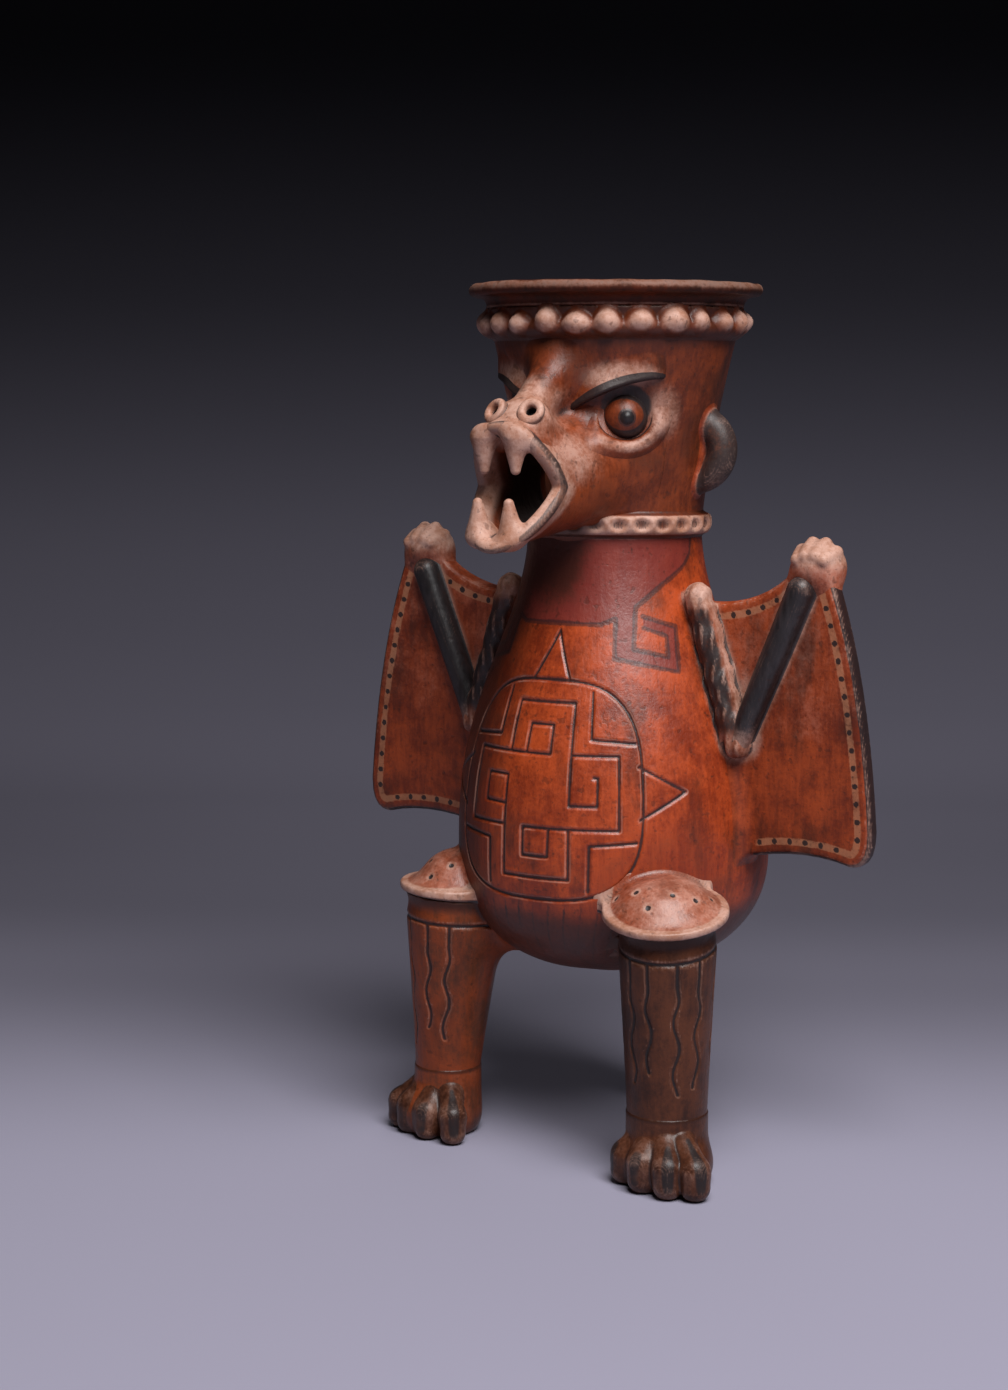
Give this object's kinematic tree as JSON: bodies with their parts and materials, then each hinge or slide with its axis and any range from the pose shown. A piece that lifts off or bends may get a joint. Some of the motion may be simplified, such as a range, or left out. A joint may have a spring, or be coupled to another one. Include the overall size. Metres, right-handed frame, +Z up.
{
  "type": "effigy tripod vessel",
  "caption": "Hollow fired-clay vessel shaped as an upright bat: open flared rim, gaping fanged muzzle, spread wings, capped front legs with paws and a stubby hind support.",
  "frame": {"origin": "on the floor, under the vertical axis of the round body and head", "axes": "+Z up along the body's axis, -Y the way the bat looks, +X towards the bat's left wing"},
  "size_m": [0.241, 0.1527, 0.3475],
  "materials": {
    "red_slip": "burnished red-orange slip over fired clay, satin, with dark crackle and worn spots",
    "orange_slip": "thin orange slip, satin, speckled with dark pits",
    "dark_slip": "black-brown organic paint, rubbed through to buff clay on the high spots",
    "buff_clay": "pale buff clay with remains of red slip, dull",
    "brown_slip": "red-brown slip, smoke-darkened, satin"
  },
  "bodies": {
    "root": {"body": "red_slip", "head": "red_slip", "rim_lip": "brown_slip", "bead_strip": "red_slip", "rim_beads": "buff_clay", "collar_band": "buff_clay", "muzzle": "buff_clay", "upper_fangs": "buff_clay", "lower_fangs": "buff_clay", "nose": "buff_clay", "left_nostril": "buff_clay", "right_nostril": "buff_clay", "left_eye": "red_slip", "right_eye": "red_slip", "left_pupil": "dark_slip", "right_pupil": "dark_slip", "left_brow": "dark_slip", "right_brow": "dark_slip", "left_eyelid": "red_slip", "right_eyelid": "red_slip", "left_ear": "dark_slip", "right_ear": "dark_slip", "left_wing": "orange_slip", "right_wing": "orange_slip", "left_upper_arm": "dark_slip", "right_upper_arm": "dark_slip", "left_forearm": "dark_slip", "right_forearm": "dark_slip", "left_knob": "buff_clay", "right_knob": "buff_clay", "left_leg": "brown_slip", "right_leg": "brown_slip", "left_kneecap": "orange_slip", "right_kneecap": "orange_slip", "left_paw": "brown_slip", "right_paw": "brown_slip", "left_toes": "dark_slip", "right_toes": "dark_slip", "tail_leg": "brown_slip"}
  },
  "joints": []
}
